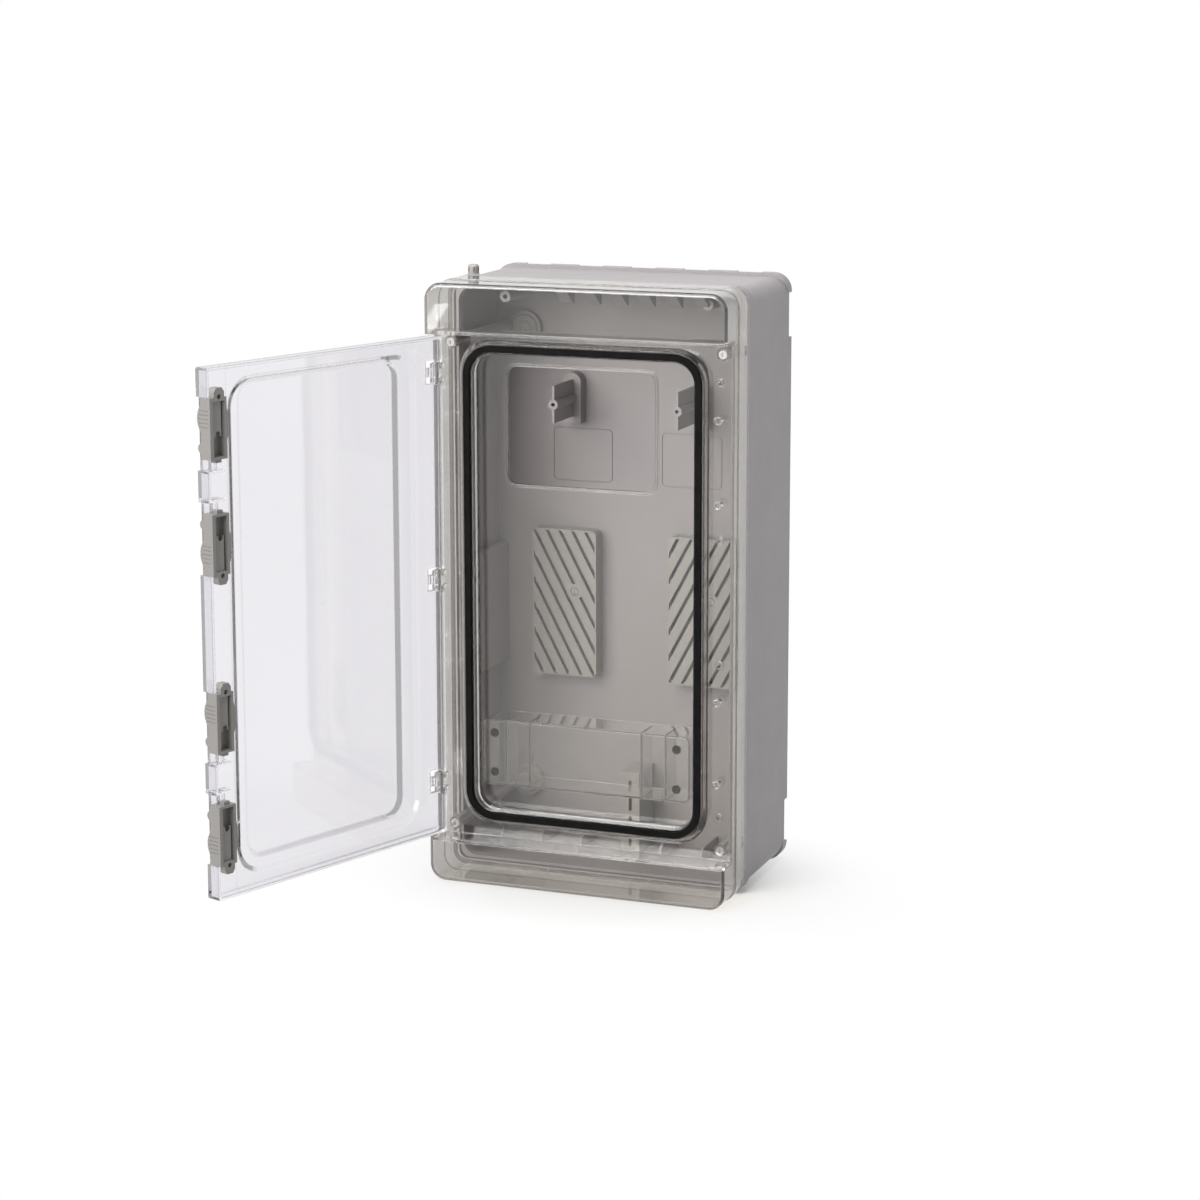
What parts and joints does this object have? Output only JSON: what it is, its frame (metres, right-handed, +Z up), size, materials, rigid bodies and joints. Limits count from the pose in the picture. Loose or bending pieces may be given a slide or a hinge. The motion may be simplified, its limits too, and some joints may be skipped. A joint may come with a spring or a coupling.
{
  "type": "hinged meter enclosure",
  "caption": "Wall-mounted polycarbonate meter enclosure with an opaque base, a clear cover, a clear hinged door with sliding latches, a window gasket and inner fixings.",
  "frame": {"origin": "in the wall plane, at the middle of the four wall fixings", "axes": "+Z up, +Y into the wall, +X to the right as seen from the front"},
  "size_m": [0.3742, 0.4244, 0.548],
  "materials": {
    "grey_base": "fine matt moulded polycarbonate",
    "clear_cover": "clear polished polycarbonate",
    "clear_pane": "clear polished polycarbonate",
    "clear_door": "clear polished polycarbonate",
    "grey_fittings": "matt moulded plastic",
    "grey_latch": "satin moulded plastic",
    "black_rubber": "soft black rubber",
    "seal_foam": "foamed polyurethane cord",
    "zinc_steel": "bright zinc plate"
  },
  "bodies": {
    "enclosure": {"base_housing": "grey_base", "cover_seal": "seal_foam", "front_cover": "clear_cover", "window_gasket": "black_rubber", "inner_pane": "clear_pane", "terminal_hood": "clear_pane", "cover_screws": "zinc_steel", "wall_fixing_plugs": "grey_fittings", "breather_plug": "grey_fittings", "fixing_grid_left": "grey_fittings", "fixing_grid_right": "grey_fittings", "grid_screws": "zinc_steel", "slotted_bar": "grey_fittings", "bar_screws": "zinc_steel", "hinge_pin_upper": "zinc_steel", "hinge_pin_middle": "zinc_steel", "hinge_pin_lower": "zinc_steel"},
    "door": {"door": "clear_door"},
    "latch_1": {"latch_1": "grey_latch"},
    "latch_2": {"latch_2": "grey_latch"},
    "latch_3": {"latch_3": "grey_latch"},
    "latch_4": {"latch_4": "grey_latch"}
  },
  "joints": [
    {"name": "door_hinge", "type": "hinge", "parent": "enclosure", "child": "door", "pos_m": [-0.1335, -0.1675, 0], "axis": [0, 0, 1], "range_deg": [-70, 110]},
    {"name": "latch_1_slide", "type": "slide", "parent": "door", "child": "latch_1", "axis": [0, 0, -1], "range_m": [0, 0.006]},
    {"name": "latch_2_slide", "type": "slide", "parent": "door", "child": "latch_2", "axis": [0, 0, 1], "range_m": [0, 0.006]},
    {"name": "latch_3_slide", "type": "slide", "parent": "door", "child": "latch_3", "axis": [0, 0, -1], "range_m": [0, 0.006]},
    {"name": "latch_4_slide", "type": "slide", "parent": "door", "child": "latch_4", "axis": [0, 0, 1], "range_m": [0, 0.006]}
  ]
}
